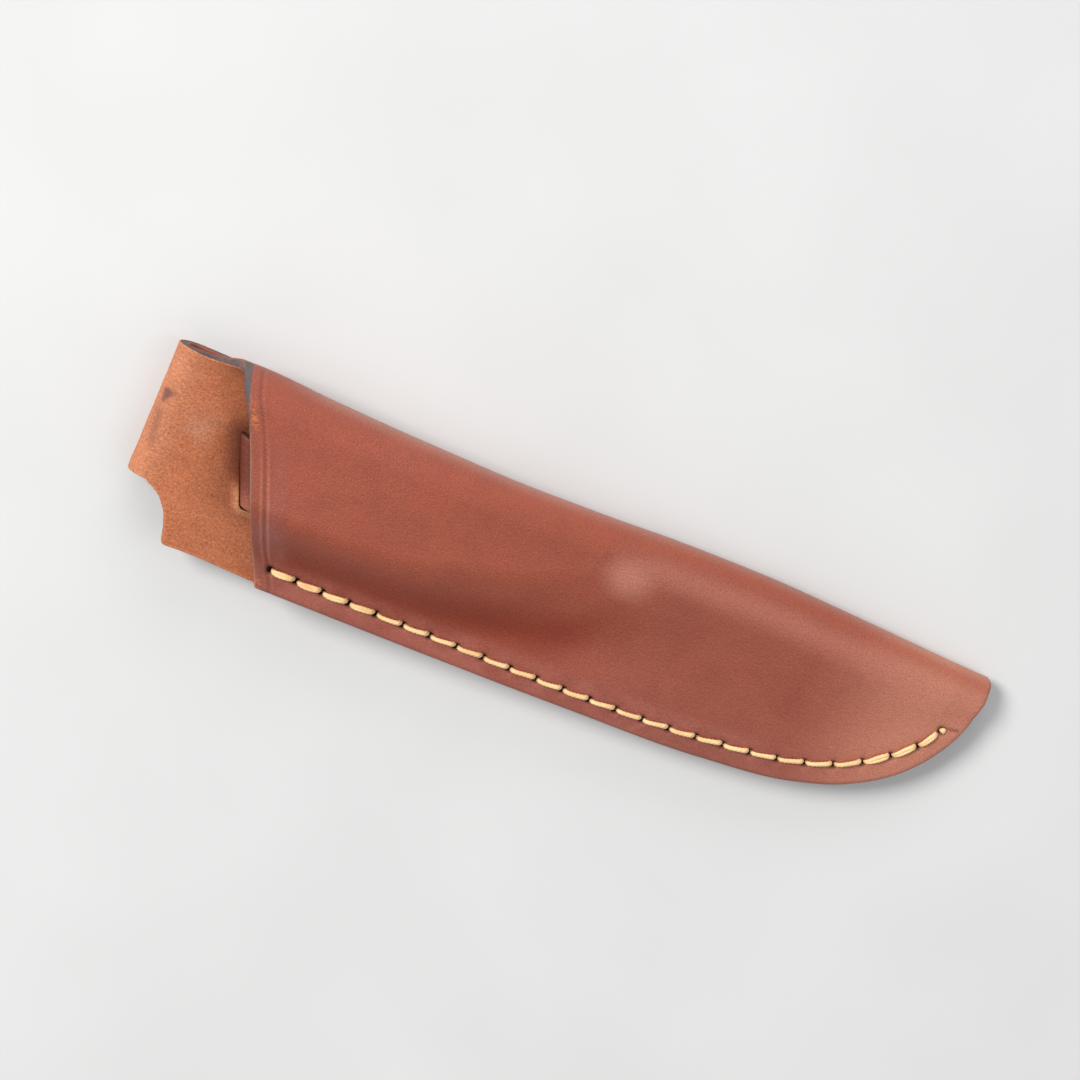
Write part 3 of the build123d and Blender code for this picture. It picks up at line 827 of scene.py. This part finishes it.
class Finish:
    """A material's node tree, built by short calls that each return an output socket."""

    def __init__(self, name):
        self.material = bpy.data.materials.new(name)
        self.material.use_nodes = True
        self.tree = self.material.node_tree
        self.tree.nodes.clear()
        out = self.tree.nodes.new("ShaderNodeOutputMaterial")
        self.bsdf = self.tree.nodes.new("ShaderNodeBsdfPrincipled")
        self.tree.links.new(self.bsdf.outputs[0], out.inputs[0])
        self.colour = None

    def node(self, kind, **sockets):
        made = self.tree.nodes.new(kind)
        for name, value in sockets.items():
            self.put(made.inputs[name], value)
        return made

    def put(self, socket, value):
        """Links an output to a socket, or sets the socket's own value."""
        if isinstance(value, bpy.types.NodeSocket):
            self.tree.links.new(value, socket)
        else:
            socket.default_value = value

    def set(self, name, value):
        self.put(self.bsdf.inputs[name], value)

    def field(self, name):
        """A number stored on the mesh."""
        made = self.tree.nodes.new("ShaderNodeAttribute")
        made.attribute_name = name
        return made.outputs["Fac"]

    def flat_place(self):
        """The pattern place in millimetres."""
        made = self.node("ShaderNodeCombineXYZ", X=self.field("u"), Y=self.field("v"))
        return made.outputs[0]

    def solid_place(self):
        """The object place in millimetres."""
        made = self.tree.nodes.new("ShaderNodeVectorMath")
        made.operation = "SCALE"
        self.put(made.inputs[0], self.tree.nodes.new("ShaderNodeTexCoord").outputs["Object"])
        made.inputs["Scale"].default_value = 1 / MM
        return made.outputs[0]

    def stretched(self, place, scale, angle=0.0):
        made = self.node("ShaderNodeMapping", Vector=place, Scale=scale, Rotation=(0, 0, angle))
        return made.outputs[0]

    def noise(self, place, size, detail=2.0, rough=0.5, warp=0.0):
        """Noise with features of about this size in millimetres."""
        made = self.node("ShaderNodeTexNoise", Vector=place, Scale=1 / size, Detail=detail)
        made.inputs["Roughness"].default_value = rough
        made.inputs["Distortion"].default_value = warp
        return made.outputs["Fac"]

    def cells(self, place, size):
        """Distance from the middles of cells of about this size."""
        made = self.node("ShaderNodeTexVoronoi", Vector=place, Scale=1 / size)
        return made.outputs["Distance"]

    def calc(self, operation, a, b=0.0):
        made = self.tree.nodes.new("ShaderNodeMath")
        made.operation = operation
        self.put(made.inputs[0], a)
        self.put(made.inputs[1], b)
        return made.outputs[0]

    def ramp(self, value, low, high, start=0.0, stop=1.0):
        """A smooth change from start to stop as the value goes from low to high."""
        made = self.tree.nodes.new("ShaderNodeMapRange")
        made.interpolation_type = "SMOOTHSTEP"
        for socket, what in zip(made.inputs[:5], (value, low, high, start, stop)):
            self.put(socket, what)
        return made.outputs[0]

    def hill(self, value, middle, width):
        """1 at the middle and 0 from this far away."""
        away = self.calc("ABSOLUTE", self.calc("SUBTRACT", value, middle))
        return self.ramp(away, 0, width, 1, 0)

    def times(self, *values):
        total = values[0]
        for value in values[1:]:
            total = self.calc("MULTIPLY", total, value)
        return total

    def plus(self, *values):
        total = values[0]
        for value in values[1:]:
            total = self.calc("ADD", total, value)
        return total

    def tint(self, share, over):
        """Lays this share of another colour over the colour so far."""
        self.colour = self.mix(share, self.colour, over)

    def surface(self, noise, smooth, rough, specular):
        """Roughness that goes from smooth to rough with a noise, and the specular level."""
        self.set("Roughness", self.ramp(noise, 0.3, 0.7, smooth, rough))
        self.set("Specular IOR Level", specular)

    def mix(self, share, a, b, blend="MIX"):
        made = self.tree.nodes.new("ShaderNodeMix")
        made.data_type = "RGBA"
        made.blend_type = blend
        made.clamp_factor = True
        self.put(made.inputs["Factor"], share)
        self.put(made.inputs[6], a)
        self.put(made.inputs[7], b)
        return made.outputs[2]

    def speckled(self, *noises):
        """The colour so far made lighter and darker by (noise, strength) pairs."""
        light = 1.0
        for noise, strength in noises:
            light = self.plus(light, self.times(self.calc("SUBTRACT", noise, 0.5), strength))
        shade = self.node("ShaderNodeCombineColor", Red=light, Green=light, Blue=light).outputs[0]
        return self.mix(1.0, self.colour, shade, "MULTIPLY")

    def bump(self, height, depth):
        """Bump this many millimetres deep for a height from 0 to 1."""
        made = self.node("ShaderNodeBump", Height=height, Distance=depth * MM)
        made.inputs["Strength"].default_value = 1.0
        self.set("Normal", made.outputs[0])


def moulded_colour(f, cloud, patch):
    """The dyed grain over the moulded body, from the handle to the tip, with painted highlights, a
    painted sheen and painted shade.
    """
    u, v = f.field("u"), f.field("v")
    f.colour = f.mix(f.ramp(u, 88, 108), paint(155, 75, 51), paint(146, 75, 56))
    f.tint(f.ramp(cloud, 0.35, 0.68, 0, 0.45), paint(160, 80, 60))
    f.tint(f.ramp(patch, 0.36, 0.72, 0, 0.35), paint(132, 62, 46))
    f.tint(f.ramp(u, 142, 170, 0, 0.7), paint(196, 128, 102))
    # Painted highlight: a light band along the blade's ridge below the spine.
    painted_highlight_band = f.times(f.hill(v, 10.5, 5.0), f.ramp(u, 92, 106), f.ramp(u, 150, 176, 1, 0.4))
    f.tint(f.times(painted_highlight_band, 0.42), paint(190, 118, 98))
    # Painted shade: a redder, darker band between the highlight band and the spine, where the curve
    # turns from the light.
    painted_shade_band = f.times(f.hill(v, 5.2, 3.6), f.ramp(u, 88, 104), 0.5)
    f.tint(painted_shade_band, paint(160, 78, 54))
    # Painted sheen: a light strip along the spine's curve, where it catches the light.
    painted_spine_sheen = f.times(f.hill(v, 0.5, 4.8), f.ramp(u, 18, 34), 0.42)
    f.tint(painted_spine_sheen, paint(184, 136, 120))
    # Painted shade along the trough where the bulge falls to the seam, partly the leather darkened by
    # its moulding.
    trough = f.ramp(f.field("trough"), 0.2, 8.0, 0.84, 0)
    f.tint(f.times(trough, f.ramp(u, 92, 104, 1, 0.3)), paint(126, 46, 24))
    # Painted highlight where the handle's bulge ends.
    painted_end_highlight = f.ramp(f.field("patch"), 0.5, 6.0, 0.64, 0)
    f.tint(painted_end_highlight, paint(196, 128, 108))
    flange = f.times(f.ramp(f.field("cut"), 5.6, 8.6, 0.55, 0), f.ramp(u, 24, 32))
    flange = f.times(flange, f.ramp(u, 130, 160, 1, 0.2))
    worn = f.mix(f.ramp(patch, 0.35, 0.65), paint(134, 72, 60), paint(160, 94, 82))
    f.tint(flange, worn)


def mouth_colour(f, patch, mottle):
    """The mouth's dim strip, tooled lines with painted highlight and shade, bevel and scuffed spots over
    the grain colour.
    """
    v, mouth = f.field("v"), f.field("mouth")
    mouth_dim = f.times(f.ramp(mouth, 1.0, 7.0, 0.4, 0), f.ramp(v, 24, 44, 0.25, 1))
    f.tint(mouth_dim, paint(112, 58, 44))
    # Painted highlight on the tooled ridges and painted shade in their groove.
    lines = f.calc("MAXIMUM", f.hill(mouth, RIDGES_AT[0], 0.5), f.hill(mouth, RIDGES_AT[1], 0.5))
    lines = f.times(lines, f.ramp(v, 12, 26, 0.1, 1), f.ramp(v, 34, 42, 1, 0.3))
    f.tint(f.times(lines, 0.4), paint(190, 118, 94))
    f.tint(f.times(f.hill(mouth, GROOVE_AT, 0.5), 0.35), paint(108, 48, 34))
    f.tint(f.ramp(f.field("cut"), 0.3, 1.2, 0.35, 0), paint(128, 80, 66))
    worn = f.mix(f.ramp(patch, 0.5, 0.62), paint(150, 98, 80), paint(180, 108, 62))
    edge = f.mix(f.ramp(v, 13, 18), paint(88, 74, 74), worn)
    f.tint(f.ramp(f.field("bevel"), -0.05, 0.1), edge)
    spots = f.times(f.hill(mouth, 1.2, 1.3), f.hill(v, 12, 4))
    spots = f.plus(spots, f.times(f.hill(mouth, 0.8, 1.0), f.hill(v, 45, 3)))
    orange = f.times(spots, f.ramp(mottle, 0.42, 0.6))
    f.tint(f.times(orange, 0.85), paint(200, 114, 60))


def grain_finish():
    f = Finish("grain_side")
    flat, u, v = f.flat_place(), f.field("u"), f.field("v")
    cloud = f.noise(flat, 30, 2, 0.5, 0.3)
    patch = f.noise(flat, 8, 4, 0.6, 0.3)
    mottle = f.noise(flat, 1.1, 4, 0.7)
    speck = f.noise(flat, 0.30, 3, 0.7)
    pores = f.cells(flat, 0.45)
    wrinkle = f.noise(f.stretched(flat, (0.5, 1.6, 1), 0.35), 0.8, 5, 0.7, 0.6)
    moulded_colour(f, cloud, patch)
    mouth_colour(f, patch, mottle)
    # Painted shade on the tab's grain inside the pocket, darkest under the front's mouth and lighter at
    # its lower end.
    tab = f.mix(f.ramp(v, -32, -25), paint(166, 96, 74), paint(98, 42, 24))
    f.tint(f.ramp(u, -20, -16, 0.8, 0), tab)
    f.tint(f.ramp(f.field("nick"), 0.15, 0.5, 0.5, 0), paint(84, 42, 36))
    # Painted shade in the dimples round the awl holes.
    f.tint(f.ramp(f.field("hole"), 0.08, 0.8, 0.7, 0), paint(60, 28, 20))
    f.set("Base Color", f.speckled((mottle, 0.34), (wrinkle, 0.26), (speck, 1.6)))
    f.surface(mottle, 0.44, 0.56, 0.38)
    f.set("Sheen Weight", 0.03)
    f.set("Sheen Roughness", 0.5)
    f.bump(f.plus(f.times(pores, 0.4), f.times(wrinkle, 0.7), f.times(speck, 0.5)), 0.14)
    return f.material


def flesh_finish():
    f = Finish("flesh_side")
    flat, u, v = f.flat_place(), f.field("u"), f.field("v")
    cloud = f.noise(flat, 14, 3, 0.6, 0.5)
    patch = f.noise(flat, 3.2, 4, 0.65, 0.5)
    fuzz = f.noise(flat, 0.45, 5, 0.75, 0.6)
    strands = f.noise(f.stretched(flat, (0.35, 1.7, 1), -0.5), 0.6, 5, 0.7, 1.2)
    f.colour = f.mix(f.ramp(cloud, 0.3, 0.7), paint(193, 113, 76), paint(203, 124, 86))
    f.tint(f.ramp(patch, 0.4, 0.72, 0, 0.25), paint(174, 102, 72))
    # Painted shade on the tongue's flesh next to the mouth, where the front panel shades it.
    painted_mouth_shade = f.times(f.ramp(u, 11, 22, 0, 0.68), f.ramp(v, -38, -30, 0.2, 1))
    f.tint(painted_mouth_shade, paint(146, 78, 52))
    # Lighter towards the fold: painted highlight on the fold's curve, with the flesh stretched there.
    f.tint(f.ramp(u, 9, 2, 0, 0.4), paint(216, 148, 112))
    # Painted highlight on the flesh lip that the tab pushes up at the slit's lower end.
    painted_lip_highlight = f.times(f.ramp(f.field("slit"), 0.3, 2.2, 0.9, 0), f.ramp(v, -30, -27, 1, 0))
    painted_lip_highlight = f.times(painted_lip_highlight, f.ramp(v, -35, -32.5))
    f.tint(painted_lip_highlight, paint(214, 144, 104))
    # Painted shadow on the flesh round the slit's upper part, under the front's mouth.
    inner = f.times(f.ramp(f.field("slit"), 0.3, 4.6, 0.95, 0), f.ramp(v, -30, -25))
    f.tint(inner, paint(112, 56, 38))
    pale = f.times(f.hill(u, 10, 6), f.hill(v, -20, 7), f.ramp(patch, 0.35, 0.6))
    f.tint(f.times(pale, 0.55), paint(206, 146, 116))
    stain = f.times(f.field("stain"), f.ramp(fuzz, 0.3, 0.6, 0.5, 1.0))
    f.tint(f.times(stain, 0.95), paint(112, 76, 74))
    rim = f.times(f.ramp(f.field("cut"), 0.25, 0.8, 0.4, 0), f.ramp(patch, 0.4, 0.6))
    rim = f.times(rim, f.ramp(f.field("slit"), 0.8, 1.4))
    f.tint(rim, paint(226, 150, 104))
    mouth = f.field("mouth")
    # Painted shade: the front's flesh darker deeper inside the pocket.
    deep = f.ramp(f.times(mouth, f.ramp(mouth, 60, 70, 1, 0)), 0, 12, 0, 0.8)
    deep = f.times(deep, f.ramp(v, 1.5, 8))
    f.tint(deep, paint(96, 52, 38))
    f.set("Base Color", f.speckled((fuzz, 2.3), (strands, 0.7)))
    f.surface(fuzz, 0.82, 0.95, 0.2)
    f.set("Sheen Weight", 0.12)
    f.set("Sheen Roughness", 0.6)
    f.set("Sheen Tint", paint(235, 180, 140))
    f.bump(f.plus(f.times(fuzz, 0.8), f.times(strands, 0.9)), 0.30)
    return f.material


def edge_finish():
    f = Finish("cut_edge")
    solid = f.solid_place()
    grain = f.noise(solid, 0.5, 4, 0.7, 0.5)
    wear = f.noise(solid, 2.6, 4, 0.6, 0.4)
    layers = f.noise(f.stretched(solid, (0.5, 0.5, 3.5)), 0.9, 4, 0.6, 0.4)
    f.colour = f.mix(f.ramp(wear, 0.35, 0.65), paint(84, 72, 74), paint(112, 92, 88))
    f.tint(f.ramp(wear, 0.6, 0.74, 0, 0.8), paint(160, 104, 80))
    f.tint(f.ramp(layers, 0.5, 0.75, 0, 0.35), paint(146, 104, 88))
    f.tint(f.ramp(grain, 0.35, 0.7, 0, 0.35), paint(70, 56, 54))
    # Painted shade on the tab's cut edges inside the pocket.
    f.tint(f.ramp(f.field("u"), -20, -16, 0.85, 0), paint(76, 38, 26))
    f.set("Base Color", f.colour)
    f.surface(wear, 0.55, 0.8, 0.3)
    f.bump(f.plus(grain, f.times(layers, 0.6)), 0.16)
    return f.material


def hole_finish():
    f = Finish("hole_walls")
    solid = f.solid_place()
    grain = f.noise(solid, 0.3, 3)
    # Near-black walls: painted shade inside the awl holes.
    f.set("Base Color", f.mix(f.ramp(grain, 0.3, 0.7), paint(46, 24, 18), paint(80, 44, 32)))
    f.set("Roughness", f.ramp(grain, 0.3, 0.7, 0.8, 0.95))
    f.bump(grain, 0.1)
    return f.material


def welt_finish():
    f = Finish("welt_leather")
    solid = f.solid_place()
    grain = f.noise(solid, 0.45, 4, 0.7, 0.4)
    wear = f.noise(solid, 3.0, 4, 0.6)
    f.colour = f.mix(f.ramp(wear, 0.35, 0.65), paint(150, 96, 68), paint(112, 74, 60))
    f.tint(f.ramp(grain, 0.4, 0.75, 0, 0.5), paint(84, 56, 46))
    f.set("Base Color", f.colour)
    f.surface(wear, 0.6, 0.85, 0.3)
    f.bump(grain, 0.14)
    return f.material


def thread_finish():
    f = Finish("waxed_thread")
    solid = f.solid_place()
    fibre = f.noise(solid, 0.22, 4, 0.7, 0.5)
    soil = f.noise(solid, 5.0, 3, 0.6)
    f.colour = f.mix(f.ramp(soil, 0.35, 0.7), paint(255, 215, 155), paint(242, 193, 132))
    f.tint(f.ramp(fibre, 0.45, 0.75, 0, 0.5), paint(190, 132, 80))
    f.set("Base Color", f.colour)
    f.surface(fibre, 0.42, 0.62, 0.45)
    f.set("Sheen Weight", 0.15)
    f.bump(fibre, 0.07)
    return f.material


# Floor, light and camera


def floor():
    """A plain pale floor under the sheath."""
    mesh = bpy.data.meshes.new("studio_floor")
    size = 3.0  # metres, from its middle to a side
    corners = [(-size, -size, 0), (size, -size, 0), (size, size, 0), (-size, size, 0)]
    mesh.from_pydata(corners, [], [(0, 1, 2, 3)])
    piece = placed("studio_floor", mesh)
    f = Finish("pale_floor")
    grain = f.noise(f.solid_place(), 60, 2)
    f.set("Base Color", f.mix(f.ramp(grain, 0.3, 0.7), paint(214, 213, 211), paint(218, 217, 215)))
    f.set("Roughness", 0.9)
    f.set("Specular IOR Level", 0.1)
    mesh.materials.append(f.material)


def area_light(name, place, target, size, power, colour=(1, 1, 1)):
    """A round lamp, size in metres and power in watts."""
    light = bpy.data.lights.new(name, "AREA")
    light.shape = "DISK"
    light.size, light.energy, light.color = size, power, colour
    placed(name, light).matrix_world = looking(Vector(place), Vector(target), Vector((0, 1, 0)))


def looking(eye, target, up):
    """A matrix at eye whose -Z points to the target."""
    back = (eye - target).normalized()
    right = up.cross(back).normalized()
    turn = Matrix((right, back.cross(right), back)).transposed().to_4x4()
    return Matrix.Translation(eye) @ turn


PICTURE_TURN = math.radians(23.85)  # of the picture's right from +X, about +Z
RIGHT = Vector((math.cos(PICTURE_TURN), math.sin(PICTURE_TURN), 0))
UP = Vector((-math.sin(PICTURE_TURN), math.cos(PICTURE_TURN), 0))
LEAN_UP, LEAN_RIGHT = math.radians(11.0), math.radians(-1.5)  # of the camera from straight above
DISTANCE = 0.514  # metres, from the place it aims at
LENS, SENSOR = 85.0, 36.0
AIM = Vector((-0.0083, 0.01015, 0.009))


def light_and_camera():
    """Three soft lamps, a soft room and the camera, looking down on the sheath's front."""
    area_light("key", UP * 0.62 - RIGHT * 0.75 + Vector((0, 0, 1.0)), AIM, 0.6, 17)
    area_light("fill", RIGHT * 0.9 - UP * 0.3 + Vector((0, 0, 1.2)), AIM, 1.2, 4.5)
    area_light("rim", UP * 1.1 + RIGHT * 0.3 + Vector((0, 0, 0.42)), AIM, 0.8, 4.0, (0.95, 0.97, 1.0))
    world = bpy.data.worlds.new("soft_room")
    world.use_nodes = True
    sky = world.node_tree.nodes["Background"].inputs
    sky["Color"].default_value = (0.93, 0.96, 1.0, 1)
    sky["Strength"].default_value = 0.42
    bpy.context.scene.world = world
    data = bpy.data.cameras.new("camera")
    data.lens, data.sensor_width = LENS, SENSOR
    camera = placed("camera", data)
    back = Vector((0, 0, 1)) + UP * math.tan(LEAN_UP) + RIGHT * math.tan(LEAN_RIGHT)
    camera.matrix_world = looking(AIM + back.normalized() * DISTANCE, AIM, UP)
    bpy.context.scene.camera = camera
    bpy.context.scene.view_settings.view_transform = "Standard"


# Putting the sheath together


def dress(piece, materials, slot, *nodes):
    """Gives a piece its materials and body, and hides the CAD nodes that it stands for; the slot is not
    used.
    """
    for material in materials:
        piece.data.materials.append(material)
    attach(piece, "root")
    if nodes:
        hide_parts(*nodes)


hide_finishes = [grain_finish(), flesh_finish(), edge_finish(), hole_finish()]
dress(hide_piece(), hide_finishes, "hide", "sheath_body")
dress(welt_piece(), [welt_finish()], "welt_hide", "welt")
waxed = thread_finish()
needle, bobbin = seam_threads()
dress(needle, [waxed], "waxed_thread", "seam_needle_thread")
dress(bobbin, [waxed], "waxed_thread", "seam_bobbin_thread")
needle, bobbin = tab_threads()
dress(needle, [waxed], "waxed_thread", "loop_needle_thread")
dress(bobbin, [waxed], "waxed_thread", "loop_bobbin_thread")
floor()
light_and_camera()
